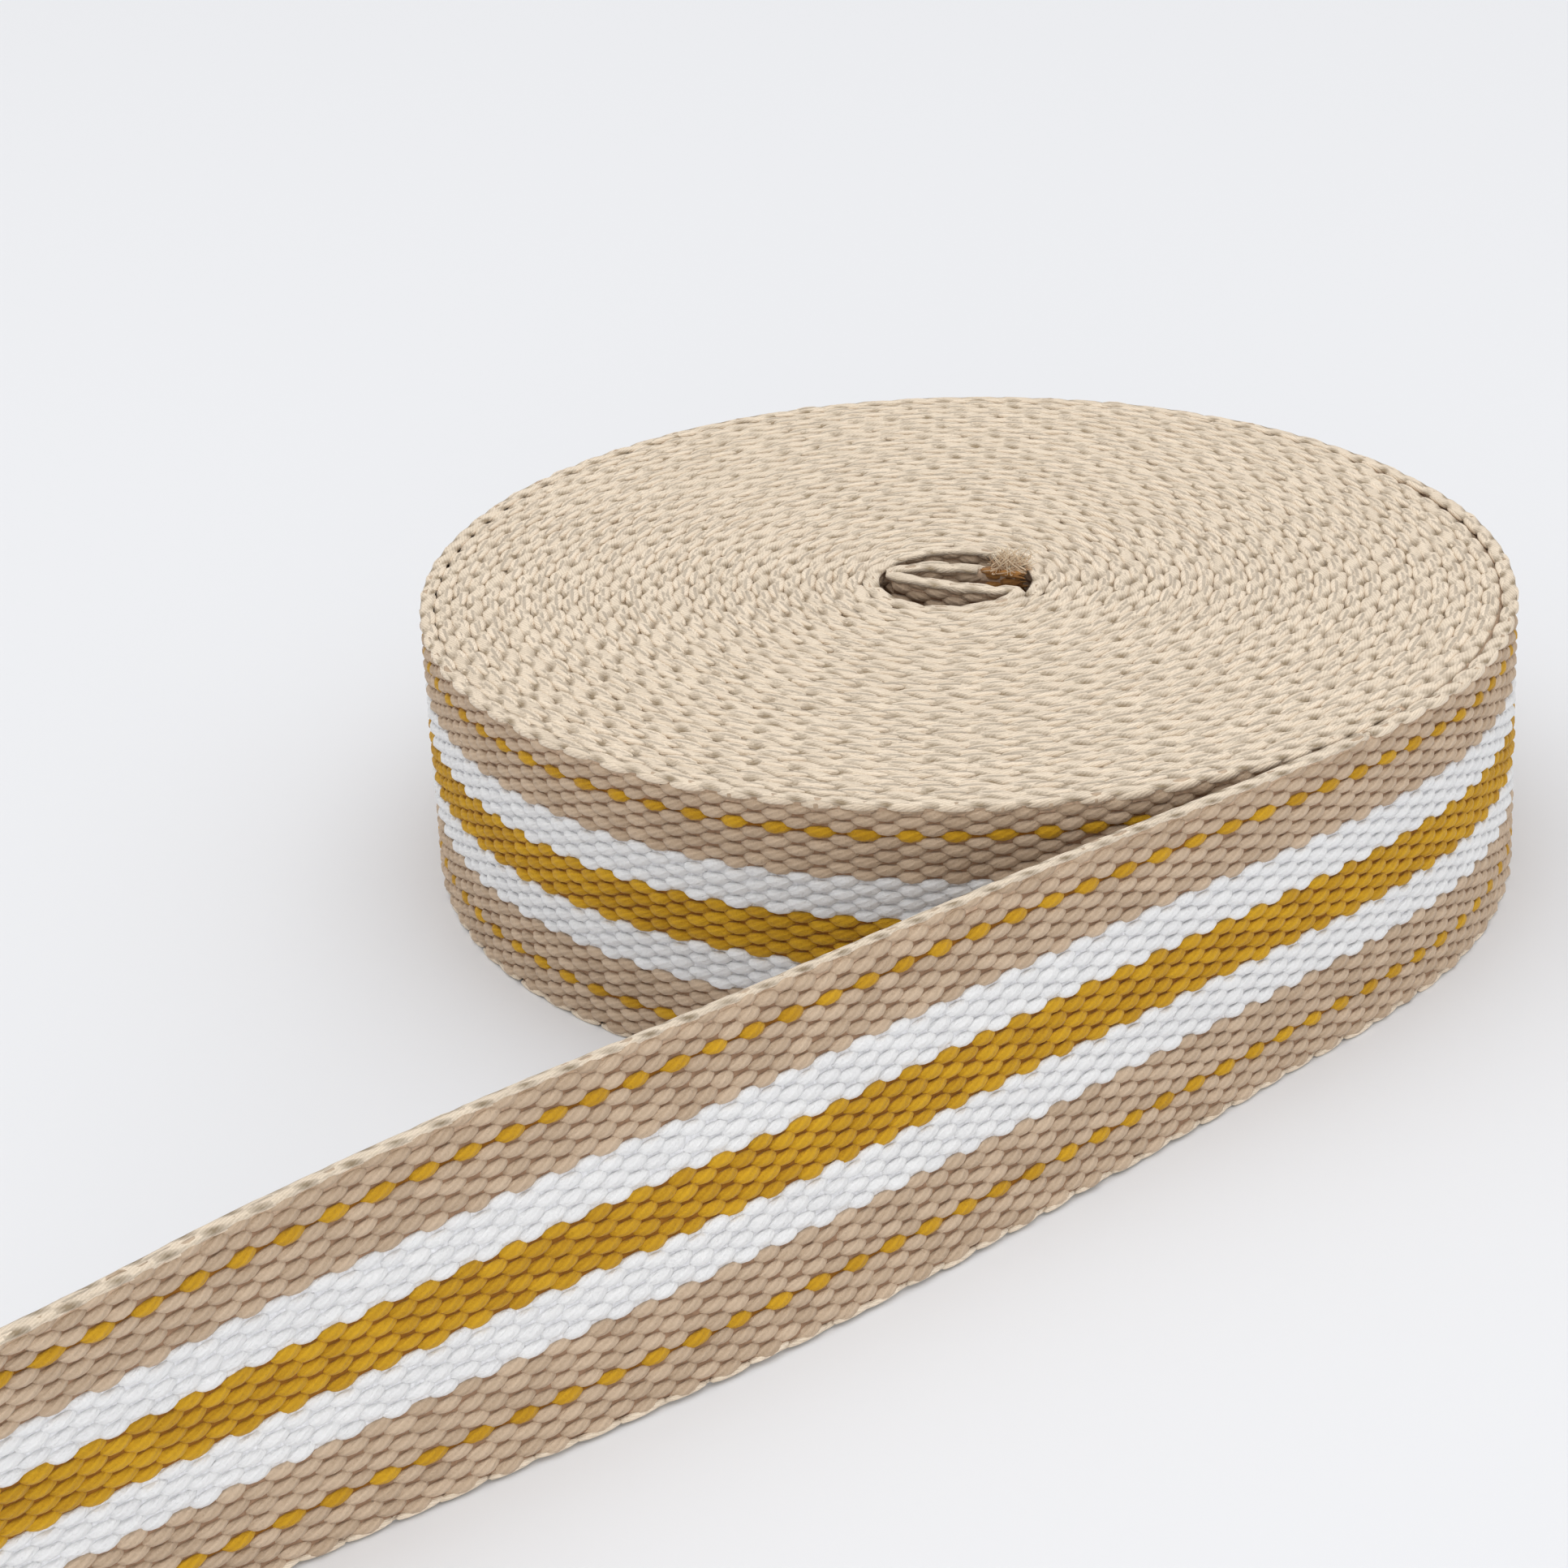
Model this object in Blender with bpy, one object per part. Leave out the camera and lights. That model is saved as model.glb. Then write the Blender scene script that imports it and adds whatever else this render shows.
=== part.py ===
"""A roll of woven cotton webbing lying flat, with its outer end led off along the surface.

Metres, +Z up. The shapes are laid out round the roll's own axis and then shifted as one,
so that the world origin is the middle of the whole part's box, on the resting surface.
"""

import math
from collections import namedtuple

import bmesh
import bpy
from mathutils import Vector

# Webbing
WIDTH = 0.038
THICKNESS = 0.0022
EDGE_ROUND = 0.0005
PARTING_GAP = 0.0003

# Where the outermost turn parts from the wound body: degrees from +X, and its outer face there
STEP_ANGLE = 40.0
STEP_RADIUS = 0.0730

# Facets
OUTLINE_POINTS_PER_ROW = 15
STATIONS_PER_ROW = 6
EYE_ARC_POINTS = 7
SHARP_ANGLE = math.radians(40)

OutlineRow = namedtuple("OutlineRow", "angle radius")
WrapRow = namedtuple("WrapRow", "angle radius lean")
RunRow = namedtuple("RunRow", "x y lean")
Eye = namedtuple("Eye", "start end back_bulge front_bulge")
Station = namedtuple("Station", "foot inward lean")

# Outer face of the wound turns, counter-clockwise from the step. The turns grow clockwise,
# so the last row lies one thickness inside the first.
ROLL_OUTLINE = (
    OutlineRow(STEP_ANGLE, STEP_RADIUS),
    OutlineRow(65, 0.0719),
    OutlineRow(90, 0.0712),
    OutlineRow(135, 0.0706),
    OutlineRow(180, 0.0702),
    OutlineRow(225, 0.0699),
    OutlineRow(270, 0.0698),
    OutlineRow(314, 0.0698),
    OutlineRow(338, 0.0709),
    OutlineRow(360, 0.0713),
    OutlineRow(380, 0.0711),
    OutlineRow(STEP_ANGLE + 360, STEP_RADIUS - THICKNESS - PARTING_GAP),
)

# Lower edge of the outermost turn's outer face, clockwise from the step. Lean is in degrees,
# the upper edge going back towards the roll's axis.
WRAP = (
    WrapRow(STEP_ANGLE - math.degrees(PARTING_GAP / STEP_RADIUS), STEP_RADIUS, 0.0),
    WrapRow(30, 0.0738, 0.5),
    WrapRow(15, 0.0750, 1.3),
    WrapRow(0, 0.0755, 1.8),
    WrapRow(-15, 0.0756, 2.0),
    WrapRow(-30, 0.0756, 3.0),
    WrapRow(-44.4, 0.0758, 5.0),
)

# The same edge where the loose end runs off over the surface
RUN = (
    RunRow(0.0413, -0.0664, 7.5),
    RunRow(0.0284, -0.0798, 12.0),
    RunRow(0.0110, -0.0972, 17.0),
    RunRow(-0.0054, -0.1128, 19.3),
    RunRow(-0.0206, -0.1260, 19.2),
    RunRow(-0.0398, -0.1406, 15.5),
    RunRow(-0.0621, -0.1570, 8.0),
    RunRow(-0.0765, -0.1676, 2.0),
    RunRow(-0.0913, -0.1782, -3.0),
)

# The two slits beside the folded-back inner end, which go down through the roll
EYES = (
    Eye((-0.0062, 0.0034), (0.0038, 0.0031), 0.0012, 0.0002),
    Eye((-0.0062, -0.0041), (0.0050, -0.0104), 0.0006, 0.0020),
)
EYE_OVERCUT = 0.001

WEBBING_COLOUR = (0.58, 0.43, 0.30, 1.0)
STRIPE_COLOUR = (0.52, 0.29, 0.03, 1.0)


def clear_scene():
    for obj in list(bpy.data.objects):
        bpy.data.objects.remove(obj, do_unlink=True)


def cloth_material(name, colour):
    material = bpy.data.materials.new(name)
    material.use_nodes = True
    shader = material.node_tree.nodes["Principled BSDF"]
    shader.inputs["Base Color"].default_value = colour
    shader.inputs["Roughness"].default_value = 0.85
    shader.inputs["Metallic"].default_value = 0.0
    return material


def smooth_through(rows, steps):
    """Points on a smooth curve through the rows, with steps points from each row to the next."""
    rows = [Vector(row) for row in rows]
    padded = [2 * rows[0] - rows[1]] + rows + [2 * rows[-1] - rows[-2]]
    points = []
    for before, start, end, after in zip(padded, padded[1:], padded[2:], padded[3:]):
        for step in range(steps):
            t = step / steps
            points.append(
                0.5 * (2 * start + (end - before) * t
                       + (2 * before - 5 * start + 4 * end - after) * t ** 2
                       + (3 * start - before - 3 * end + after) * t ** 3))
    points.append(rows[-1])
    return points


def loft(name, rings, material):
    """A closed solid: a cap on the first ring, pulled out through each of the others."""
    mesh = bpy.data.meshes.new(name)
    bm = bmesh.new()
    first_cap = bm.faces.new([bm.verts.new(point) for point in rings[0]])
    cap = first_cap
    for ring in rings[1:]:
        grown = bmesh.ops.extrude_face_region(bm, geom=[cap])["geom"]
        if cap is not first_cap:
            bm.faces.remove(cap)
        cap = next(item for item in grown if isinstance(item, bmesh.types.BMFace))
        for vertex, point in zip(cap.verts, ring):
            vertex.co = point
    bmesh.ops.recalc_face_normals(bm, faces=bm.faces)
    bm.to_mesh(mesh)
    bm.free()
    mesh.shade_smooth()
    mesh.set_sharp_from_angle(angle=SHARP_ANGLE)
    if material:
        mesh.materials.append(material)
    obj = bpy.data.objects.new(name, mesh)
    bpy.context.scene.collection.objects.link(obj)
    return obj


def roll_rings():
    """The roll's outline at four heights, its two rims drawn in by the webbing's round edge."""
    outline = smooth_through(ROLL_OUTLINE, OUTLINE_POINTS_PER_ROW)
    levels = ((0.0, EDGE_ROUND), (EDGE_ROUND, 0.0), (WIDTH - EDGE_ROUND, 0.0), (WIDTH, EDGE_ROUND))
    rings = []
    for height, inset in levels:
        ring = []
        for angle, radius in outline:
            turn = math.radians(angle)
            ring.append(Vector(((radius - inset) * math.cos(turn),
                                (radius - inset) * math.sin(turn), height)))
        rings.append(ring)
    return rings


def loose_stations():
    """Foot points of the outer face along the loose end, with the way in to the inner face."""
    wrapped = [(row.radius * math.cos(math.radians(row.angle)),
                row.radius * math.sin(math.radians(row.angle)), row.lean) for row in WRAP]
    points = smooth_through(wrapped + [tuple(row) for row in RUN], STATIONS_PER_ROW)
    stations = []
    for index, (x, y, lean) in enumerate(points):
        behind = points[max(index - 1, 0)]
        ahead = points[min(index + 1, len(points) - 1)]
        heading = Vector((ahead.x - behind.x, ahead.y - behind.y, 0)).normalized()
        inward = Vector((heading.y, -heading.x, 0))
        stations.append(Station(Vector((x, y, 0)), inward, math.radians(lean)))
    return stations


def section(station):
    """One cross-section of the leaning webbing, cut flat where it stands on the surface."""
    upright = station.inward * math.sin(station.lean) + Vector((0, 0, math.cos(station.lean)))
    through = station.inward * math.cos(station.lean) - Vector((0, 0, math.sin(station.lean)))
    foot_width = THICKNESS / math.cos(station.lean)
    outer = station.foot
    inner = station.foot + station.inward * foot_width
    top = station.foot + upright * WIDTH
    return [
        outer + station.inward * EDGE_ROUND,
        outer + upright * EDGE_ROUND,
        top - upright * EDGE_ROUND,
        top + through * EDGE_ROUND,
        top + through * (THICKNESS - EDGE_ROUND),
        top + through * THICKNESS - upright * EDGE_ROUND,
        inner + upright * EDGE_ROUND,
        inner - station.inward * EDGE_ROUND,
    ]


def eye_ring(eye, height):
    """A slim lens between two points, its two sides bowed back and forward."""
    start = Vector(eye.start)
    along = Vector(eye.end) - start
    across = Vector((-along.y, along.x)).normalized()
    outline = []
    for side, bulge in ((1, eye.back_bulge), (-1, eye.front_bulge)):
        for step in range(EYE_ARC_POINTS):
            t = step / EYE_ARC_POINTS
            place = t if side > 0 else 1 - t
            outline.append(start + along * place + across * side * bulge * 4 * t * (1 - t))
    return [Vector((point.x, point.y, height)) for point in outline]


def cut_eyes(roll):
    for number, eye in enumerate(EYES, 1):
        rings = [eye_ring(eye, -EYE_OVERCUT), eye_ring(eye, WIDTH + EYE_OVERCUT)]
        cutter = loft(f"eye_cutter_{number}", rings, None)
        cutter.hide_render = True
        cutter.display_type = "WIRE"
        cutter.parent = roll
        cut = roll.modifiers.new(f"eye_{number}", "BOOLEAN")
        cut.operation = "DIFFERENCE"
        cut.solver = "EXACT"
        cut.object = cutter


def middle_of(points):
    low_x, high_x = min(p.x for p in points), max(p.x for p in points)
    low_y, high_y = min(p.y for p in points), max(p.y for p in points)
    return Vector(((low_x + high_x) / 2, (low_y + high_y) / 2, 0))


def build():
    clear_scene()
    roll_outline = roll_rings()
    loose_sections = [section(station) for station in loose_stations()]

    roll_axis = bpy.data.objects.new("roll_axis", None)
    bpy.context.scene.collection.objects.link(roll_axis)
    all_points = [point for ring in roll_outline + loose_sections for point in ring]
    roll_axis.location = -middle_of(all_points)

    roll = loft("wound_roll", roll_outline, cloth_material("webbing_beige", WEBBING_COLOUR))
    roll.parent = roll_axis
    cut_eyes(roll)

    loose = loft("loose_end", loose_sections, cloth_material("webbing_stripe", STRIPE_COLOUR))
    loose.parent = roll_axis


build()
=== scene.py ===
import math

import bpy
import numpy as np
from mathutils import Matrix, Vector


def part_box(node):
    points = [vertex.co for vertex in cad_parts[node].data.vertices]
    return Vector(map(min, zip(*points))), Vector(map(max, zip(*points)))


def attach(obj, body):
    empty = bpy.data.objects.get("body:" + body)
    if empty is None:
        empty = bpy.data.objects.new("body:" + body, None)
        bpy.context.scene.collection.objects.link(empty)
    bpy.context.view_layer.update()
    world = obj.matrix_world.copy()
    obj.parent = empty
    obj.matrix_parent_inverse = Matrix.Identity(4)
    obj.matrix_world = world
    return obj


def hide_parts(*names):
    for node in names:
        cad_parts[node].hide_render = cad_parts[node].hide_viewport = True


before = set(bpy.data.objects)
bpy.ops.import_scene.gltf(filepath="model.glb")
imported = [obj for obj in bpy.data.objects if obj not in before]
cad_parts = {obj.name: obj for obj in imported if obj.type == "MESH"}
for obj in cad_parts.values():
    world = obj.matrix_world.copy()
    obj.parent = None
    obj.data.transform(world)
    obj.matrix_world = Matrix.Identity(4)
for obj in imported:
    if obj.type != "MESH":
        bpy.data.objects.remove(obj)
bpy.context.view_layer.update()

bpy.ops.object.select_all(action="DESELECT")

# Camera
# It looks down on the roll at about 26 degrees from the front, a little turned and tilted,
# through a long lens. The roll's axis is found from the wound solid's left and back sides.
ROLL_LEFT = 0.0702
ROLL_BACK = 0.0712
CAMERA_BACK = 0.4209
CAMERA_UP = 0.2102
CAMERA_PAN = math.radians(-3.11)
CAMERA_PITCH = math.radians(25.70)
CAMERA_ROLL = math.radians(-2.28)

roll_low, roll_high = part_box("wound_roll")
roll_axis = Vector((roll_low[0] + ROLL_LEFT, roll_high[1] - ROLL_BACK, 0))

lens = bpy.data.cameras.new("camera")
lens.sensor_width = 36
lens.lens = 78.26
lens.clip_start = 0.01
camera = bpy.data.objects.new("camera", lens)
bpy.context.scene.collection.objects.link(camera)
camera.matrix_world = (
    Matrix.Translation(roll_axis + Vector((0, -CAMERA_BACK, CAMERA_UP)))
    @ Matrix.Rotation(-CAMERA_PAN, 4, "Z")
    @ Matrix.Rotation(math.pi / 2 - CAMERA_PITCH, 4, "X")
    @ Matrix.Rotation(CAMERA_ROLL, 4, "Z"))
bpy.context.scene.camera = camera

# Webbing cloth
# One length of 38 mm warp-faced cotton webbing. It is woven flat, stood on its lower edge and
# wound up from a folded-back inner end, and its outer end is led off across the surface.
WIDTH = 0.038
CLOTH_HALF = 0.0010

# Outer face's lower edge from the far end in to the roll, from the roll's axis: x, y, lean
LOOSE_RUN = (
    (-0.0913, -0.1782, -3.0),
    (-0.0765, -0.1676, 2.0),
    (-0.0621, -0.1570, 8.0),
    (-0.0398, -0.1406, 15.5),
    (-0.0206, -0.1260, 19.2),
    (-0.0054, -0.1128, 19.3),
    (0.0110, -0.0972, 17.0),
    (0.0284, -0.0798, 12.0),
    (0.0413, -0.0664, 7.5),
)
# The same edge where it lies round the roll's right side: angle, radius, lean
LOOSE_TURN = (
    (-44.4, 0.0758, 5.0),
    (-30, 0.0756, 3.0),
    (-15, 0.0756, 2.0),
    (0, 0.0755, 1.8),
    (15, 0.0750, 1.3),
    (30, 0.0738, 0.5),
)
# Outer face of a tight turn as large as the roll: angle, radius
TURN_SHAPE = (
    (40, 0.0730), (65, 0.0721), (90, 0.0715), (135, 0.0711), (180, 0.0710), (225, 0.07095),
    (270, 0.0711), (314, 0.0720), (338, 0.0733), (360, 0.07395), (380, 0.0733), (400, 0.0730),
)
TURNS = 28 + 260 / 360
CORE_MIDDLE = np.array((0.0005, -0.0014))
CORE_HALF = np.array((0.0100, 0.0098))
# Middle line of the folded-back inner end, from the first turn in to the cut end: x, y
INNER_END = (
    (0.0076, -0.0086), (0.0089, -0.0072), (0.0091, -0.0057), (0.0081, -0.0048),
    (0.0062, -0.0047), (0.0035, -0.0040), (0.0008, -0.0031), (-0.0019, -0.0020),
    (-0.0042, -0.0007), (-0.0060, -0.0001), (-0.0072, 0.0009), (-0.0072, 0.0022),
    (-0.0058, 0.0032), (-0.0036, 0.0037), (-0.0013, 0.0037), (0.0013, 0.0033),
    (0.0038, 0.0026), (0.0064, 0.0018), (0.0091, 0.0009),
)


def smooth_through(rows, steps):
    """Points on a smooth curve through the rows, steps of them from each row to the next."""
    rows = np.array(rows, float)
    padded = np.vstack((2 * rows[0] - rows[1], rows, 2 * rows[-1] - rows[-2]))
    part = np.arange(steps)[:, None] / steps
    points = []
    for a, b, c, d in zip(padded, padded[1:], padded[2:], padded[3:]):
        points.append(0.5 * (2 * b + (c - a) * part + (2 * a - 5 * b + 4 * c - d) * part ** 2
                             + (3 * b - a - 3 * c + d) * part ** 3))
    return np.vstack(points + [rows[-1:]])


# Loose end and outermost quarter turn: the outer face's edge, moved in to the middle
start_angle, start_radius = TURN_SHAPE[0]
rows = list(LOOSE_RUN)
for angle, radius, lean in LOOSE_TURN + ((start_angle, start_radius, 0.0),):
    turn = math.radians(angle)
    rows.append((radius * math.cos(turn), radius * math.sin(turn), lean))
ROUTE_STEPS = 40
outer_edge = smooth_through(rows, ROUTE_STEPS)
heading = np.gradient(outer_edge[:, :2], axis=0)
heading /= np.linalg.norm(heading, axis=1)[:, None]
lean = np.radians(outer_edge[:, 2])
inward = np.stack((-heading[:, 1], heading[:, 0]), axis=1)
loose = outer_edge[:, :2] + inward * (CLOTH_HALF / np.cos(lean))[:, None]

# Wound turns: from a turn as large as the roll, evenly in to the oval first turn
TURN_STEP = 1.5
SHAPE_STEPS = 12
shape = smooth_through(TURN_SHAPE, SHAPE_STEPS)
turned = np.arange(0, TURNS * 360, TURN_STEP)
angle = start_angle + turned
radius = np.interp(turned % 360 + start_angle, shape[:, 0], shape[:, 1]) - CLOTH_HALF
around = np.stack((np.cos(np.radians(angle)), np.sin(np.radians(angle))), axis=1)
wound = (turned / (TURNS * 360))[:, None]
turns = (1 - wound) * radius[:, None] * around + wound * (CORE_MIDDLE + CORE_HALF * around)

inner = smooth_through([turns[-1]] + list(INNER_END), SHAPE_STEPS)[1:]
plan = np.vstack((loose[:-1], turns, inner))
plan_lean = np.concatenate((lean[:-1], np.zeros(len(plan) - len(loose) + 1)))
steps = np.linalg.norm(np.diff(plan, axis=0), axis=1)
along_plan = np.concatenate(([0], np.cumsum(steps)))

# Places along the webbing: where it leaves the roll, where the outer turn is covered by the
# loose one, and where the turn round the core begins
COVERED_FROM = 282
CORE_TURN = 330
LENGTH = along_plan[-1]
LEAVES_ROLL = along_plan[len(LOOSE_RUN) * ROUTE_STEPS]
ONE_TURN_IN = along_plan[len(loose) - 1 + int(COVERED_FROM / TURN_STEP)]
FIRST_TURN = along_plan[len(loose) - 1 + len(turns) - int(CORE_TURN / TURN_STEP)]

# The middle line again at even steps, with its heading smoothed twice
MIDDLE_STEP = 0.0005
along = np.arange(0, LENGTH, MIDDLE_STEP)
middle = np.stack([np.interp(along, along_plan, plan[:, i]) for i in (0, 1)], axis=1)
lean = np.interp(along, along_plan, plan_lean)
heading = np.gradient(middle, axis=0)
for _ in range(2):
    heading[1:-1] = (heading[:-2] + 2 * heading[1:-1] + heading[2:]) / 4
heading /= np.linalg.norm(heading, axis=1)[:, None]


def on_webbing(place):
    """Places woven flat (along, up from the lower edge, out from the middle) as they lie."""
    s, up, out = place[:, 0], place[:, 1], place[:, 2]
    x, y = (np.interp(s, along, middle[:, i]) for i in (0, 1))
    hx, hy = (np.interp(s, along, heading[:, i]) for i in (0, 1))
    size = np.hypot(hx, hy)
    hx, hy = hx / size, hy / size
    a = np.interp(s, along, lean)
    over = np.clip(s - along[-1], 0, None) + np.clip(s, None, 0)
    inward = up * np.sin(a) - out * np.cos(a)
    height = up * np.cos(a) + out * np.sin(a) + CLOTH_HALF * np.abs(np.sin(a))
    return np.stack((roll_axis.x + x + hx * over - hy * inward,
                     roll_axis.y + y + hy * over + hx * inward, height), axis=1)


# The yarn map counts millimetres along the webbing
PER_METRE = 1000


def cloth_piece(name, flat, faces, yarn_map, tone, material):
    """A mesh woven flat and laid as the webbing lies, with its yarn map and its tone."""
    mesh = bpy.data.meshes.new(name)
    mesh.from_pydata(on_webbing(flat).tolist(), [], faces)
    layer = mesh.uv_layers.new(name="yarn")
    corner = np.empty(len(mesh.loops), np.int32)
    mesh.loops.foreach_get("vertex_index", corner)
    layer.uv.foreach_set("vector", yarn_map[corner].astype(np.float32).ravel())
    shade = mesh.attributes.new("tone", "FLOAT", "POINT")
    shade.data.foreach_set("value", tone.astype(np.float32))
    mesh.shade_smooth()
    mesh.materials.append(material)
    piece = bpy.data.objects.new(name, mesh)
    bpy.context.scene.collection.objects.link(piece)
    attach(piece, "root")
    return piece


def tube_faces(rings, sides, start=0):
    """Faces between the neighbouring rings of an open tube with this many sides."""
    faces = []
    for low in range(start, start + (rings - 1) * sides, sides):
        for side in range(sides):
            turn = (side + 1) % sides
            faces.append((low + side, low + turn, low + sides + turn, low + sides + side))
    return faces


def rope_faces(rings, sides, start=0):
    """Faces of a tube whose two ends are each shut by a flat face."""
    faces = tube_faces(rings, sides, start)
    faces.append(tuple(range(start + sides - 1, start - 1, -1)))
    faces.append(tuple(range(start + (rings - 1) * sides, start + rings * sides)))
    return faces


# Cotton yarn: the slant of its plies, and its fibres along, round and from yarn to yarn
PLY_SLANT = 0.11
FIBRE_ALONG, FIBRE_AROUND, FIBRE_BY_YARN = 0.8, 22.0, 90.0
# What the yarn, its plies, its fibres and its fuzz give to the tone and to the relief; the plies'
# share of the tone is painted shade in the grooves between them
YARN_TONE, PLY_GROOVE_SHADE, FIBRE_TONE, FUZZ_TONE = 0.30, 0.20, 0.35, 0.35
PLY_RELIEF, FIBRE_RELIEF, FUZZ_RELIEF = 0.8, 1.2, 1.5


def new_material(name, shader_values):
    """A new material and its shader, with these values on the shader's own sockets."""
    material = bpy.data.materials.new(name)
    material.use_nodes = True
    shader = material.node_tree.nodes["Principled BSDF"]
    for socket, value in shader_values.items():
        shader.inputs[socket].default_value = value
    return material, shader


def new_node(tree, kind, values=(), **settings):
    """A new node with these settings, and these values on its sockets."""
    made = tree.nodes.new(kind)
    for key, setting in settings.items():
        setattr(made, key, setting)
    for socket, value in dict(values).items():
        made.inputs[socket].default_value = value
    return made


def cotton(name, light, dark, plies, ply_depth):
    """Plied cotton yarn: slanting plies with painted shade in the grooves between them, fine
    fibres and a tone that differs yarn by yarn.
    """
    material, shader = new_material(name, {
        "Roughness": 0.82, "Specular IOR Level": 0.25, "Sheen Weight": 0.12,
        "Sheen Roughness": 0.5})
    tree = material.node_tree

    def maths(operation, first, second=None):
        made = new_node(tree, "ShaderNodeMath", operation=operation)
        for socket, value in zip(made.inputs, (first, second)):
            if value is None:
                continue
            if isinstance(value, (int, float)):
                socket.default_value = value
            else:
                tree.links.new(value, socket)
        return made.outputs[0]

    yarn = new_node(tree, "ShaderNodeUVMap", uv_map="yarn")
    split = new_node(tree, "ShaderNodeSeparateXYZ")
    tree.links.new(yarn.outputs[0], split.inputs[0])
    lay = maths("ADD", split.outputs["Y"], maths("MULTIPLY", split.outputs["X"], PLY_SLANT))
    ridge = maths("SINE", maths("MULTIPLY", lay, 2 * math.pi * plies))
    ridge = maths("MULTIPLY_ADD", ridge, 0.5)
    ridge.node.inputs[2].default_value = 0.5

    tone = new_node(tree, "ShaderNodeAttribute", attribute_name="tone")
    fibre_place = new_node(tree, "ShaderNodeCombineXYZ")
    for axis, place, times in (("X", split.outputs["X"], FIBRE_ALONG), ("Y", lay, FIBRE_AROUND),
                               ("Z", tone.outputs["Fac"], FIBRE_BY_YARN)):
        tree.links.new(maths("MULTIPLY", place, times), fibre_place.inputs[axis])
    fibre = new_node(tree, "ShaderNodeTexNoise", {"Scale": 1.6, "Detail": 3.0})
    tree.links.new(fibre_place.outputs[0], fibre.inputs["Vector"])

    here = new_node(tree, "ShaderNodeTexCoord")
    fuzz = new_node(tree, "ShaderNodeTexNoise", {"Scale": 3800, "Detail": 2.0})
    tree.links.new(here.outputs["Object"], fuzz.inputs["Vector"])

    depth = maths("MULTIPLY", tone.outputs["Fac"], YARN_TONE)
    # Painted shade: the grooves between the plies are darkened
    depth = maths("ADD", depth, maths("MULTIPLY", ridge, PLY_GROOVE_SHADE))
    depth = maths("ADD", depth, maths("MULTIPLY", fibre.outputs["Fac"], FIBRE_TONE))
    depth = maths("ADD", depth, maths("MULTIPLY", fuzz.outputs["Fac"], FUZZ_TONE))
    blend = new_node(tree, "ShaderNodeMix", data_type="RGBA")
    blend.inputs["A"].default_value = (*dark, 1)
    blend.inputs["B"].default_value = (*light, 1)
    tree.links.new(depth, blend.inputs["Factor"])
    tree.links.new(blend.outputs["Result"], shader.inputs["Base Color"])

    relief = maths("ADD", maths("MULTIPLY", ridge, PLY_RELIEF),
                   maths("MULTIPLY", fibre.outputs["Fac"], FIBRE_RELIEF))
    relief = maths("ADD", relief, maths("MULTIPLY", fuzz.outputs["Fac"], FUZZ_RELIEF))
    bump = new_node(tree, "ShaderNodeBump", {"Strength": 0.9, "Distance": ply_depth})
    tree.links.new(relief, bump.inputs["Height"])
    tree.links.new(bump.outputs[0], shader.inputs["Normal"])
    return material


beige_cotton = cotton("beige_cotton", (0.71, 0.55, 0.40), (0.33, 0.224, 0.14), 5, 0.00010)
pale_cotton = cotton("pale_cotton", (1.0, 0.86, 0.69), (0.40, 0.30, 0.19), 9, 0.00006)
white_cotton = cotton("white_cotton", (0.90, 0.90, 0.90), (0.74, 0.74, 0.75), 5, 0.00010)
mustard_cotton = cotton("mustard_cotton", (0.72, 0.41, 0.015), (0.33, 0.145, 0.002), 5, 0.00010)

# Forty-two warp ends from the upper edge down: beige, white and mustard
ENDS = 42
RIM = 0.0004
END_PITCH = (WIDTH - 2 * RIM) / ENDS
STRIPES = "bbbbmbbbbbbwwwwwwmmmmmmmwwwwwwbbbbbbmbbbbb"
# The ground under each stripe has the stripe's own hue, darkened as painted shade so that the
# slots between the floats read dark
GROUND_HUE_AND_SHADE = {"b": (0.34, 0.21, 0.13), "w": (0.80, 0.80, 0.82), "m": (0.28, 0.11, 0.005)}
# The ground's upper two millimetres are a pale brown, darker than the edge yarns as painted shade
EDGE_HUE_AND_SHADE = (0.62, 0.46, 0.33)
EDGE_SHADE_WIDTH = 0.0020
ground_cotton, ground_shader = new_material("ground_cotton", {"Roughness": 0.9})
ground_tree = ground_cotton.node_tree
ground_map = new_node(ground_tree, "ShaderNodeUVMap", uv_map="yarn")
ground_split = new_node(ground_tree, "ShaderNodeSeparateXYZ")
ground_bands = new_node(ground_tree, "ShaderNodeValToRGB")
ground_bands.color_ramp.interpolation = "CONSTANT"
bands = ground_bands.color_ramp.elements
bands[0].color = (*GROUND_HUE_AND_SHADE[STRIPES[-1]], 1)
bands.remove(bands[1])
for end in range(ENDS - 1, 0, -1):
    if STRIPES[end - 1] != STRIPES[end]:
        height = WIDTH - RIM - end * END_PITCH
        bands.new(height / WIDTH).color = (*GROUND_HUE_AND_SHADE[STRIPES[end - 1]], 1)
bands.new(1 - EDGE_SHADE_WIDTH / WIDTH).color = (*EDGE_HUE_AND_SHADE, 1)
ground_place = new_node(ground_tree, "ShaderNodeTexCoord")
ground_fuzz = new_node(ground_tree, "ShaderNodeTexNoise", {"Scale": 2600, "Detail": 2.0})
ground_depth = new_node(ground_tree, "ShaderNodeMapRange", {"To Min": 0.65, "To Max": 1.35})
ground_tone = new_node(ground_tree, "ShaderNodeVectorMath", operation="SCALE")
ground_bump = new_node(ground_tree, "ShaderNodeBump", {"Strength": 0.8, "Distance": 0.00012})
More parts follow.
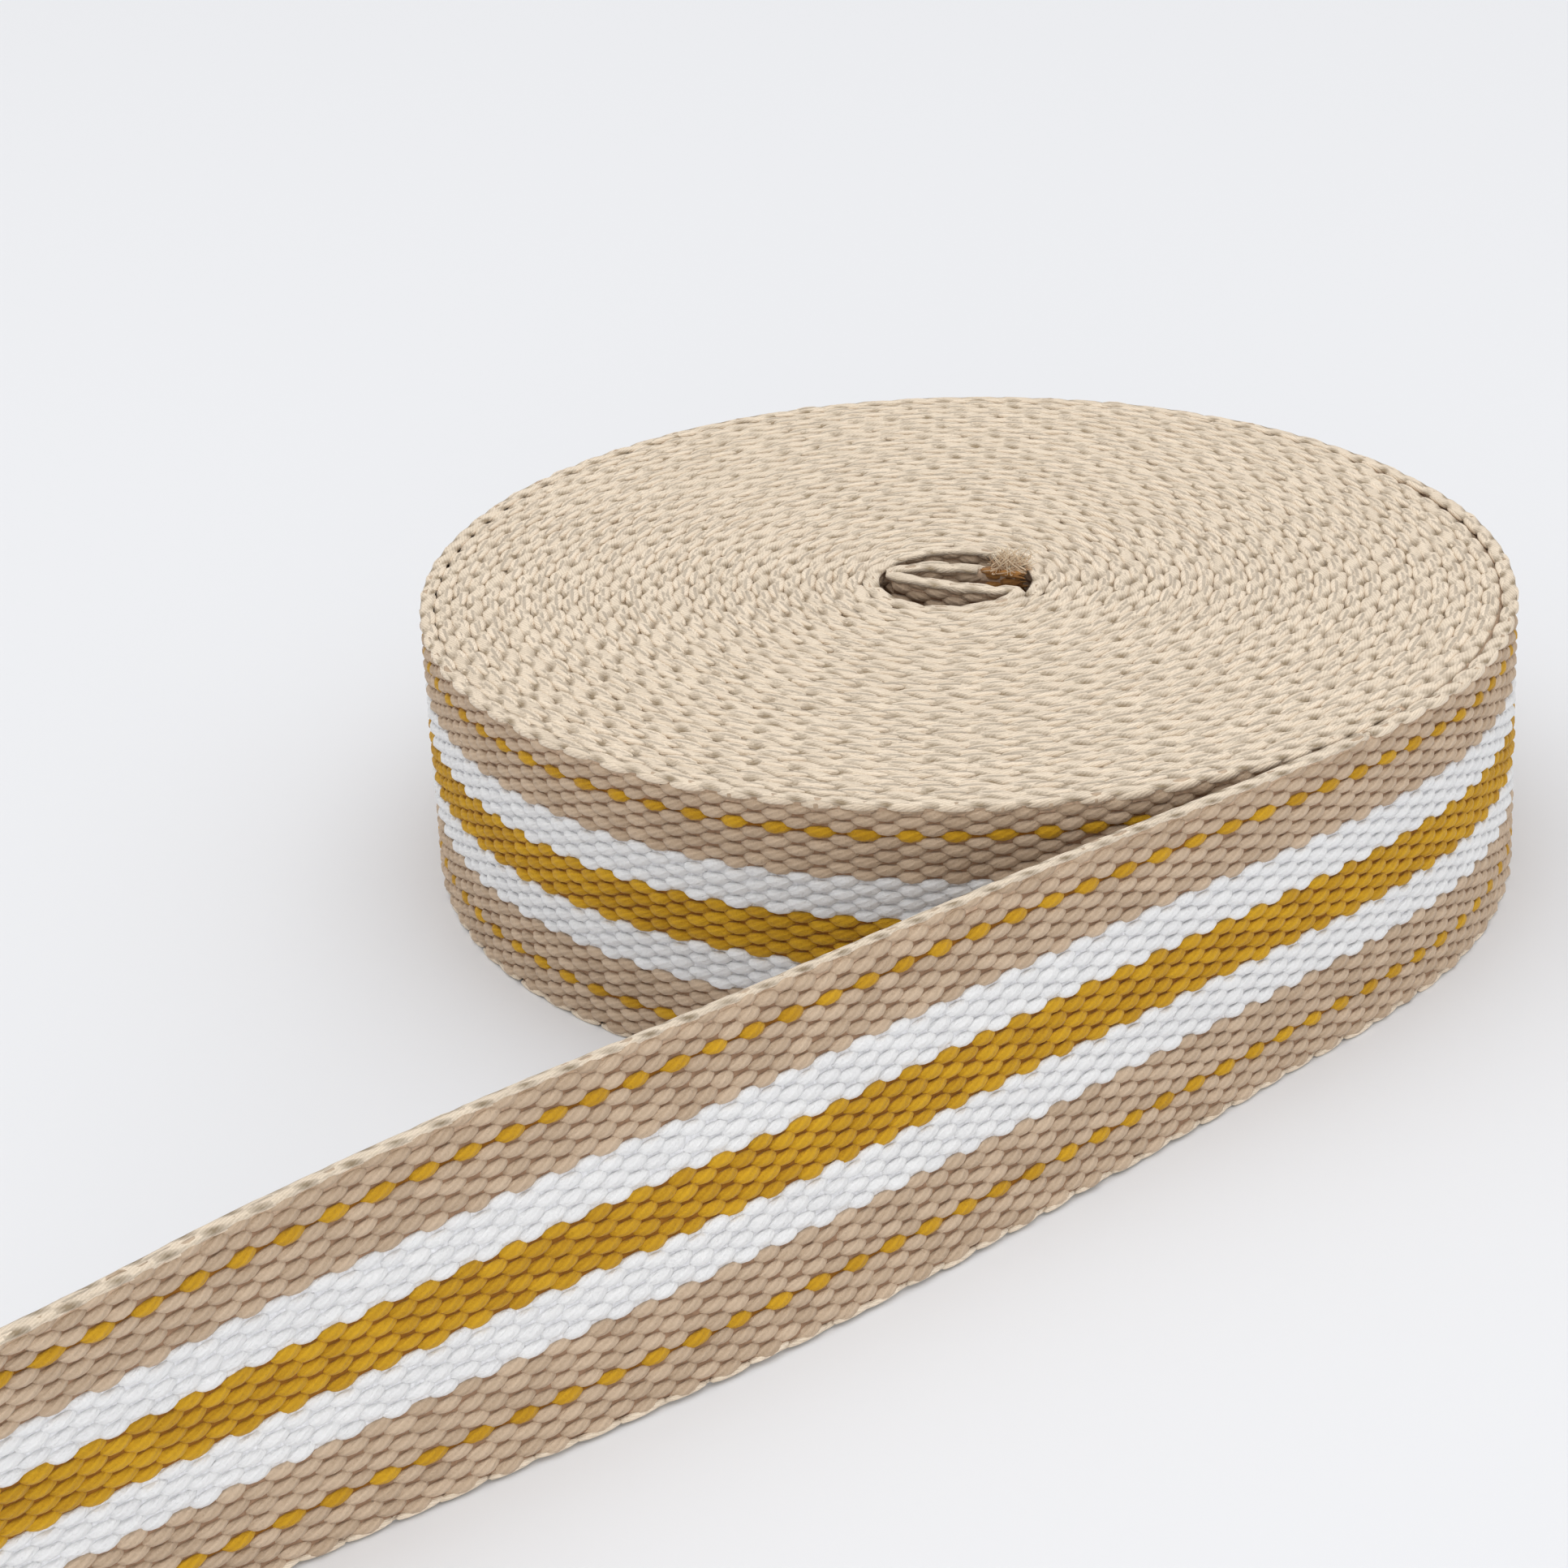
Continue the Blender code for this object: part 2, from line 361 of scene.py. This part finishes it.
for output, socket in (
        (ground_map.outputs[0], ground_split.inputs[0]),
        (ground_split.outputs["Y"], ground_bands.inputs[0]),
        (ground_place.outputs["Object"], ground_fuzz.inputs["Vector"]),
        (ground_fuzz.outputs["Fac"], ground_depth.inputs["Value"]),
        (ground_bands.outputs[0], ground_tone.inputs[0]),
        (ground_depth.outputs["Result"], ground_tone.inputs["Scale"]),
        (ground_tone.outputs[0], ground_shader.inputs["Base Color"]),
        (ground_fuzz.outputs["Fac"], ground_bump.inputs["Height"]),
        (ground_bump.outputs[0], ground_shader.inputs["Normal"])):
    ground_tree.links.new(output, socket)

# The ground of the cloth under its warp yarns, thin on the faces and fuller at both edges: the
# band's section as places up and out, woven pick by pick
PICK = 0.0026605
EDGE_IN, EDGE_FULL, FACE_FROM = 0.0005, 0.0010, 0.0017
EDGE_HALF, FACE_HALF = 0.0010, 0.00060
BAND = ((EDGE_IN, 0), (EDGE_FULL, -EDGE_HALF), (FACE_FROM, -FACE_HALF),
        (WIDTH - FACE_FROM, -FACE_HALF), (WIDTH - EDGE_FULL, -EDGE_HALF), (WIDTH - EDGE_IN, 0),
        (WIDTH - EDGE_FULL, EDGE_HALF), (WIDTH - FACE_FROM, FACE_HALF),
        (FACE_FROM, FACE_HALF), (EDGE_FULL, EDGE_HALF))
GROUND_FROM = 0.0002
GROUND_TONE = 0.1
# It is slimmer where the faces carry yarns, and fuller where it floors the loose turn's gap
UNDER_YARNS = 0.5
IN_GAP = 2.0
GAP_LENGTH = 0.090
stations = np.append(np.arange(GROUND_FROM, LENGTH, PICK), LENGTH)
flat = np.array([(s, up, out) for s in stations for up, out in BAND])
covered = (flat[:, 0] > ONE_TURN_IN) & (flat[:, 0] < FIRST_TURN)
flat[:, 2] *= np.where(covered, 1, UNDER_YARNS)
under_loose_turn = (flat[:, 0] > ONE_TURN_IN) & (flat[:, 0] < ONE_TURN_IN + GAP_LENGTH)
flat[under_loose_turn, 2] *= IN_GAP
webbing = cloth_piece(
    "webbing_cloth", flat, rope_faces(len(stations), len(BAND)),
    np.stack((flat[:, 0] * PER_METRE, flat[:, 1] / WIDTH), axis=1),
    np.full(len(flat), GROUND_TONE), ground_cotton)
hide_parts("wound_roll", "loose_end")

# Warp yarns on the faces
# Forty-two warp ends lie side by side across the cloth and each passes over one pick and under
# the next, so every face shows them as plump floats, set like bricks, with a slot between them.
YARNS = {
    "b": ("beige", beige_cotton, "beige_yarn"),
    "w": ("white", white_cotton, "white_yarn"),
    "m": ("mustard", mustard_cotton, "mustard_yarn"),
}
# Half length, half width and half thickness, place out from the middle, and the ends' dip
FLOAT_HALF = (0.00215, 0.00078, 0.00066)
FLOAT_OUT = 0.00040
FLOAT_DIP = (0.0, 0.00052)
FLOAT_SQUARE = 1
FLOAT_POINT = 0.55
FLOAT_TONES = (0, 1)
# How the floats differ: in place, in size and in slant
FACE_STRAY = (0.00008, 0.00003, 0.00003)
SWELL = 0.05
SLANT = 0.03
# Angles of a section's corners round the yarn, from the upper edge's side
FACE_ROUND = (-15, 27, 69, 111, 153, 195)
COLUMN_START = 0.0016
# Columns of the back that go on behind the roll, and warp ends that show in the core
PAST_ROLL = 8
CORE_ENDS = 4
SINGED_LENGTH = 0.0040
yarn_dice = np.random.default_rng(38)


def one_float(half, dip, rings, section, square, point):
    """A float: a spindle along the warp whose two ends dip in between its neighbours.

    A smaller square gives a boxier section, and a smaller point gives blunter ends.
    """
    def rounded(value):
        return math.copysign(abs(value) ** square, value)

    half_length, half_up, half_out = half
    sides = len(section)
    places, around_yarn = [], []
    for x in np.cos(np.linspace(math.pi, 0, rings + 2))[1:-1]:
        fullness = (1 - x * x) ** point
        for degrees in section:
            turn = math.radians(degrees)
            places.append((x * half_length,
                           fullness * half_up * rounded(math.cos(turn)) - dip[0] * x * x,
                           fullness * half_out * rounded(math.sin(turn)) - dip[1] * x * x))
            around_yarn.append(degrees / 360)
    first_tip, last_tip = len(places), len(places) + 1
    for x in (-1, 1):
        places.append((x * half_length, -dip[0], -dip[1]))
        around_yarn.append(90 / 360)
    faces = tube_faces(rings, sides)
    low = (rings - 1) * sides
    for side in range(sides):
        turn = (side + 1) % sides
        faces.append((first_tip, turn, side))
        faces.append((low + side, low + turn, last_tip))
    return np.array(places), np.array(around_yarn), faces


def lay_floats(name, spindle, centres, flip, tones, stray, material):
    """One mesh of floats like the spindle at (along, up, out) places, straying a little."""
    shape, around_yarn, shape_faces = spindle
    count, size = len(centres), len(shape)
    swell = 1 + yarn_dice.normal(0, SWELL, (count, 1, 3))
    flat = shape[None] * swell * np.array(flip) + centres[:, None, :]
    flat[:, :, 1] += shape[None, :, 0] * yarn_dice.normal(SLANT, SLANT, (count, 1))
    flat += yarn_dice.normal(0, 1, (count, 1, 3)) * np.array(stray)
    yarn_map = np.empty((count, size, 2))
    yarn_map[:, :, 0] = shape[:, 0] * PER_METRE
    yarn_map[:, :, 1] = around_yarn + yarn_dice.random((count, 1))
    tone = np.repeat(yarn_dice.uniform(*tones, count), size)
    if flip[1] * flip[2] < 0:
        shape_faces = [corners[::-1] for corners in shape_faces]
    faces = [tuple(corner + number * size for corner in corners)
             for number in range(count) for corners in shape_faces]
    return cloth_piece(name, flat.reshape(-1, 3), faces, yarn_map.reshape(-1, 2), tone,
                       material)


def weave_floats(name, first, last, face, rings, ends=range(ENDS)):
    """The floats that show on one face between two columns, one piece for each colour."""
    spindle = one_float(FLOAT_HALF, FLOAT_DIP, rings, FACE_ROUND, FLOAT_SQUARE, FLOAT_POINT)
    woven = []
    for key, (colour, material, slot) in YARNS.items():
        centres = [(COLUMN_START + column * PICK, WIDTH - RIM - (end + 0.5) * END_PITCH,
                    face * FLOAT_OUT)
                   for column in range(first, last) for end in ends
                   if STRIPES[end] == key and ((column + end) % 2 == 0) == (face > 0)]
        if centres:
            woven.append(lay_floats(f"{name}_{colour}", spindle, np.array(centres),
                                    (1, 1, face), FLOAT_TONES, FACE_STRAY, material))
    return woven


last_loose = int((LEAVES_ROLL - COLUMN_START) / PICK)
last_outer = int((ONE_TURN_IN - COLUMN_START) / PICK)
first_turn = int((FIRST_TURN - COLUMN_START) / PICK)
singed_from = int((LENGTH - SINGED_LENGTH - COLUMN_START) / PICK) + 1
yarns = []
yarns += weave_floats("loose_front", 0, last_loose, 1, rings=7)
yarns += weave_floats("outer_turn", last_loose, last_outer, 1, rings=5)
yarns += weave_floats("loose_back", 0, last_loose + PAST_ROLL, -1, rings=4)
yarns += weave_floats("inner_front", first_turn, singed_from, 1, 4, range(CORE_ENDS))
yarns += weave_floats("inner_back", first_turn, singed_from, -1, 4, range(CORE_ENDS))

# Warp yarns at the edges
# The outermost end at each edge passes from one face to the other at every pick. Its long
# floats lie along both sides of a flat rope, which is the body of the woven edge.
EDGE_ROUND = (0, 35, 65, 115, 180, 245, 295, 325)
EDGE_SQUARE = 0.65
EDGE_POINT = 0.30
EDGE_RINGS = 5
EDGE_TONES = (0.6, 1.1)
EDGE_STRAY = (0.00030, 0.00006, 0.00005)
BELOW_EDGE = 0.00012


def edge_floats(name, first, last, edge, face, half, out, dip):
    """The floats of an edge's outermost end on one side of the webbing: edge 1 is the upper."""
    spindle = one_float(half, dip, EDGE_RINGS, EDGE_ROUND, EDGE_SQUARE, EDGE_POINT)
    up = WIDTH - half[1] - BELOW_EDGE if edge > 0 else half[1]
    centres = [(COLUMN_START + column * PICK, up, face * out)
               for column in range(first, last) if (column % 2 == 0) == (edge * face > 0)]
    return lay_floats(name, spindle, np.array(centres), (1, edge, face), EDGE_TONES, EDGE_STRAY,
                      pale_cotton)


# Half length, height and thickness of a float, its place out from the middle, its ends' dip
SLIM = ((0.0028, 0.00040, 0.00046), 0.00034, (0.00006, 0.00008))
RIM_FLOATS = ((0.00245, 0.00056, 0.00062), 0.00050, (0.00012, 0.00020))
OUTER = ((0.00220, 0.00044, 0.00064), 0.00050, (0.00010, 0.00016))
INNER = ((0.00245, 0.00044, 0.00066), 0.00050, (0.00008, 0.00014))
for part, first, last, edge, face, sizes in (
        ("upper_edge_rim", last_loose, last_outer, 1, 1, RIM_FLOATS),
        ("upper_edge_outside", last_outer, singed_from, 1, 1, OUTER),
        ("upper_edge_inside", last_loose, singed_from, 1, -1, INNER),
        ("upper_edge_loose_outside", 0, last_loose, 1, 1, SLIM),
        ("upper_edge_loose_inside", 0, last_loose, 1, -1, SLIM),
        ("lower_edge_outside", 0, last_outer, -1, 1, SLIM),
        ("lower_edge_inside", 0, last_loose + PAST_ROLL, -1, -1, SLIM)):
    yarns.append(edge_floats(part, first, last, edge, face, *sizes))

# The body of the upper edge: a flat-topped rope that fills each turn's width, with a small pit at
# alternate sides wherever the outermost end crosses over. Its corners are given as shares of
# its depth and of its half width.
UPPER_ROPE = ((-1.0, -0.86), (-0.28, -1.0), (-0.13, -0.66), (-0.10, 0.0),
              (-0.13, 0.66), (-0.28, 1.0), (-1.0, 0.86))
# A corner is a shoulder, where the pits are, if it lies this far out and this far up
SHOULDER_OUT, SHOULDER_UP = 0.6, -0.9
PIT_DEPTHS = (0.4, 1.3)
# Low tones at the pits' corners: painted shade in the pits
PIT_SHADE_TONES = (-2.4, -0.2)
TOP_UNEVEN = 0.00008
# The rope's tone: even, drifting slowly along the webbing and changing from yarn to yarn
EVEN_TONE, SLOW_TONE, QUICK_TONE = 0.55, 0.4, 0.3
SLOW_STEP = 0.012
SLOW_PAST_END = 0.02
ACROSS_PER_METRE = 250


def upper_rope(name, first, last, half_width, depth, pit):
    """The edge's body between two columns; every fourth half pick has a pit at either side,
    darkened as painted shade.
    """
    halves = np.arange(2 * first, 2 * last)
    section = np.array(UPPER_ROPE) * (depth, 1)
    flat = np.empty((len(halves), len(section), 3))
    flat[:, :, 0] = (COLUMN_START + halves * PICK / 2)[:, None]
    flat[:, :, 1] = WIDTH + section[:, 0]
    flat[:, :, 2] = section[:, 1] * half_width
    spots = np.arange(0, LENGTH + SLOW_PAST_END, SLOW_STEP)
    slow = np.interp(flat[:, 0, 0], spots, yarn_dice.random(len(spots)))
    flat[:, :, 1] -= yarn_dice.uniform(0, TOP_UNEVEN, flat.shape[:2])
    tone = EVEN_TONE + SLOW_TONE * slow[:, None] + yarn_dice.uniform(0, QUICK_TONE, flat.shape[:2])
    for phase, side in ((2, 1), (0, -1)):
        here = np.flatnonzero(halves % 4 == phase)
        shoulder = (section[:, 1] * side > SHOULDER_OUT) & (section[:, 0] > SHOULDER_UP * depth)
        for point in np.flatnonzero(shoulder):
            flat[here, point, 1] -= pit * yarn_dice.uniform(*PIT_DEPTHS, len(here))
            # Painted shade: the pit's corners are darkened
            tone[here, point] = yarn_dice.uniform(*PIT_SHADE_TONES, len(here))
    flat = flat.reshape(-1, 3)
    lengths = np.linalg.norm(np.diff(section * (1, half_width), axis=0), axis=1)
    across = np.concatenate(([0], np.cumsum(lengths))) * ACROSS_PER_METRE
    yarn_map = np.stack((flat[:, 0] * PER_METRE, np.tile(across, len(halves))), axis=1)
    return cloth_piece(name, flat, rope_faces(len(halves), len(section)), yarn_map,
                       tone.ravel(), pale_cotton)


for part, first, last, half_width, depth, pit in (
        ("upper_edge_inner", first_turn, singed_from, 0.00110, 0.0008, 0.00025),
        ("upper_edge_wound", last_outer, first_turn, 0.00112, 0.0014, 0.0005),
        ("upper_edge_outer", last_loose, last_outer, 0.00086, 0.0006, 0.00020),
        ("upper_edge_loose", 0, last_loose, 0.00100, 0.0006, 0.00005)):
    yarns.append(upper_rope(part, first, last, half_width, depth, pit))

# The lower edge of the wound turns, which stands out of sight on the surface
LOWER_ROPE = ((0.0, -0.0008), (0.0010, -0.0009), (0.0010, 0.0009), (0.0, 0.0008))
LOWER_TONE = 0.3
LOWER_ACROSS_PER_METRE = 100
BEFORE_CUT = 0.001
rope_from = COLUMN_START + last_outer * PICK
rope_stations = np.arange(rope_from, LENGTH - BEFORE_CUT, PICK)
flat = np.array([(s, up, out) for s in rope_stations for up, out in LOWER_ROPE])
yarns.append(cloth_piece(
    "lower_edge_wound", flat, rope_faces(len(rope_stations), len(LOWER_ROPE)),
    np.stack((flat[:, 0] * PER_METRE, flat[:, 2] * LOWER_ACROSS_PER_METRE), axis=1),
    np.full(len(flat), LOWER_TONE), pale_cotton))

# Cut inner end
# The webbing was cut with heat at its inner end: the last few millimetres are singed brown, and
# short yarn ends and finer fibres fray out of the cut, most of them up over the roll's edge.
singed_cotton = cotton("singed_cotton", (0.56, 0.28, 0.085), (0.17, 0.06, 0.012), 5, 0.00006)
frayed_cotton = cotton("frayed_cotton", (1.0, 0.84, 0.62), (0.46, 0.23, 0.08), 5, 0.00001)
# A tip's share of its strand's radius, a direction that no strand takes, and a ring's length
# on the yarn map
TIP_SHARE = 0.25
STRAND_SIDE = (0.3, 0.2, 1.0)
RING_LENGTH = 0.8


def frayed(name, strands, radius, sides, tones, material):
    """Loose strands as tapering tubes: each is a row of places (along, up, out)."""
    rings = strands.shape[1]
    heading = np.gradient(strands, axis=1)
    heading /= np.linalg.norm(heading, axis=2)[:, :, None]
    across = np.cross(heading, STRAND_SIDE)
    across /= np.linalg.norm(across, axis=2)[:, :, None]
    third = np.cross(heading, across)
    taper = np.linspace(1, TIP_SHARE, rings)[None, :, None] * np.reshape(radius, (-1, 1, 1))
    tubes = np.stack([strands + taper * (math.cos(turn) * across + math.sin(turn) * third)
                      for turn in 2 * math.pi * np.arange(sides) / sides], axis=2)
    count = len(strands)
    yarn_map = np.zeros((count, rings, sides, 2))
    yarn_map[..., 0] = np.arange(rings)[None, :, None] * RING_LENGTH
    yarn_map[..., 1] = np.arange(sides) / sides
    tone = yarn_dice.random((count, 1, 1)) + np.linspace(*tones, rings)[None, :, None]
    tone = np.broadcast_to(tone, (count, rings, sides)).ravel()
    faces = []
    for number in range(count):
        faces += rope_faces(rings, sides, number * rings * sides)
    return cloth_piece(name, tubes.reshape(-1, 3), faces, yarn_map.reshape(-1, 2), tone,
                       material)


# Singed floats over the last two picks, shorter than the rest
SINGED_COLUMNS = (LENGTH - 0.0030, LENGTH - 0.0008)
SINGED_RINGS = 4
SINGED_ENDS = 14
SINGED_EDGE_IN = 0.0005
SINGED_FACE = one_float((0.0016, 0.0008, 0.0005), FLOAT_DIP, SINGED_RINGS, FACE_ROUND,
                        square=0.85, point=0.5)
SINGED_EDGE = one_float((0.0019, 0.0005, 0.0006), FLOAT_DIP, SINGED_RINGS, EDGE_ROUND,
                        EDGE_SQUARE, EDGE_POINT)
for face, side_name in ((1, "outside"), (-1, "inside")):
    edge_centres = [(place, WIDTH - SINGED_EDGE_IN, face * SINGED_EDGE_IN)
                    for place in SINGED_COLUMNS]
    face_centres = [(place, WIDTH - RIM - (end + 0.5) * END_PITCH, face * FLOAT_OUT)
                    for column, place in enumerate(SINGED_COLUMNS) for end in range(SINGED_ENDS)
                    if ((column + end) % 2 == 0) == (face > 0)]
    for part, spindle, centres in (("edge", SINGED_EDGE, edge_centres),
                                   ("face", SINGED_FACE, face_centres)):
        yarns.append(lay_floats(f"singed_{part}_{side_name}", spindle, np.array(centres),
                                (1, 1, face), FLOAT_TONES, FACE_STRAY, singed_cotton))

# Yarn stubs: two to each warp end, the upper ones bent up out of the core
STUBS_PER_END = 2
STUB_POINTS = 5
STUB_ROOT = 0.0012
STUB_REACH = (0.0008, 0.0020)
STUB_RISE, STUB_RISE_LESS = 0.0016, 0.0006
STUB_RISE_SHARE = (0.2, 1.0)
STUB_DRIFT = 0.0005
STUB_SPREAD = 0.0007
STUB_RADIUS = (0.00028, 0.00045)
step = np.linspace(0, 1, STUB_POINTS)
stubs = []
for end in range(ENDS):
    for _ in range(STUBS_PER_END):
        rise = max(0, STUB_RISE - STUB_RISE_LESS * end) * yarn_dice.uniform(*STUB_RISE_SHARE)
        reach = yarn_dice.uniform(*STUB_REACH)
        drift = yarn_dice.normal(0, STUB_DRIFT, 2)
        stubs.append(np.stack((
            LENGTH - STUB_ROOT + (STUB_ROOT + reach) * step,
            WIDTH - RIM - (end + 0.5) * END_PITCH + rise * step ** 1.5 + drift[0] * step ** 2,
            yarn_dice.uniform(-STUB_SPREAD, STUB_SPREAD) + drift[1] * step ** 2), axis=1))
yarns.append(frayed("singed_yarn_stubs", np.array(stubs),
                    yarn_dice.uniform(*STUB_RADIUS, len(stubs)), 5, (0, 0), singed_cotton))

# Fine fibres: a soft tuft over the cut's upper corner
FIBRES = 170
FIBRE_POINTS = 6
FIBRE_ROOT_DOWN = 0.0008
FIBRE_ROOT_BACK = (-0.0004, 0.0028)
FIBRE_ROOT_OUT = (-0.0012, 0.0004)
FIBRE_LIFT, FIBRE_LIFT_MORE = 0.0004, 0.0026
FIBRE_SWING = 0.0009
FIBRE_CURL = 0.0010
FIBRE_LEAN = 0.0008
FIBRE_RADIUS = (0.00008, 0.00016)
FIBRE_TONES = (-1.8, 1.4)
step = np.linspace(0, 1, FIBRE_POINTS)
fibres = []
for _ in range(FIBRES):
    start_up = WIDTH - yarn_dice.uniform(0.0, FIBRE_ROOT_DOWN)
    lift = FIBRE_LIFT + FIBRE_LIFT_MORE * yarn_dice.random() ** 1.3
    swing = yarn_dice.normal(0, FIBRE_SWING, 2)
    curl = yarn_dice.normal(0, FIBRE_CURL, 2)
    back = LENGTH - yarn_dice.uniform(*FIBRE_ROOT_BACK)
    out = yarn_dice.uniform(*FIBRE_ROOT_OUT)
    fibres.append(np.stack((
        back + swing[0] * step + curl[0] * np.sin(4 * step),
        start_up + lift * step ** 1.2,
        out - FIBRE_LEAN * step + swing[1] * step + curl[1] * np.sin(3 * step)), axis=1))
yarns.append(frayed("frayed_fibres", np.array(fibres),
                    yarn_dice.uniform(*FIBRE_RADIUS, len(fibres)), 3, FIBRE_TONES,
                    frayed_cotton))

# Floor and light
# A plain pale surface under a wide soft light from above and a weaker one low in front, with
# even light all round.
bpy.ops.mesh.primitive_plane_add(size=20, location=(0, 0, 0))
floor = bpy.context.active_object
floor.name = "floor"
paper, _ = new_material("pale_paper", {
    "Base Color": (0.80, 0.812, 0.84, 1), "Roughness": 0.7, "Specular IOR Level": 0.2})
floor.data.materials.append(paper)

# Each light's width, height, power, spread in degrees and place, turned to the part's middle
LIGHTS = {
    "soft_box": (2.4, 2.0, 8.5, 180, (-0.05, 0.0, 1.6)),
    "fill_box": (0.6, 0.4, 0.72, 100, (0.10, -1.00, 0.20)),
}
for name, (width, tall, power, spread, place) in LIGHTS.items():
    light = bpy.data.lights.new(name, "AREA")
    light.shape = "RECTANGLE"
    light.size = width
    light.size_y = tall
    light.energy = power
    light.spread = math.radians(spread)
    lamp = bpy.data.objects.new(name, light)
    bpy.context.scene.collection.objects.link(lamp)
    lamp.location = place
    lamp.rotation_euler = (-lamp.location).to_track_quat("-Z", "Y").to_euler()

# The sky's strength: least at the horizon ahead, more upwards and more to either side
SKY_LEAST, SKY_UPWARDS, SKY_SIDEWAYS = 0.05, 0.90, 0.50
world = bpy.data.worlds.new("studio")
world.use_nodes = True
sky_tree = world.node_tree
sky = sky_tree.nodes["Background"]
sky.inputs["Color"].default_value = (1.0, 0.995, 0.99, 1)
sky_place = new_node(sky_tree, "ShaderNodeTexCoord")
sky_split = new_node(sky_tree, "ShaderNodeSeparateXYZ")
sky_rise = new_node(sky_tree, "ShaderNodeMath", {1: SKY_UPWARDS, 2: SKY_LEAST},
                    operation="MULTIPLY_ADD")
sky_side = new_node(sky_tree, "ShaderNodeMath", operation="ABSOLUTE")
sky_both = new_node(sky_tree, "ShaderNodeMath", {1: SKY_SIDEWAYS}, operation="MULTIPLY_ADD")
for output, socket in (
        (sky_place.outputs["Generated"], sky_split.inputs[0]),
        (sky_split.outputs["Z"], sky_rise.inputs[0]),
        (sky_split.outputs["X"], sky_side.inputs[0]),
        (sky_side.outputs[0], sky_both.inputs[0]),
        (sky_rise.outputs[0], sky_both.inputs[2]),
        (sky_both.outputs[0], sky.inputs["Strength"])):
    sky_tree.links.new(output, socket)
bpy.context.scene.world = world
bpy.context.scene.view_settings.view_transform = "Standard"
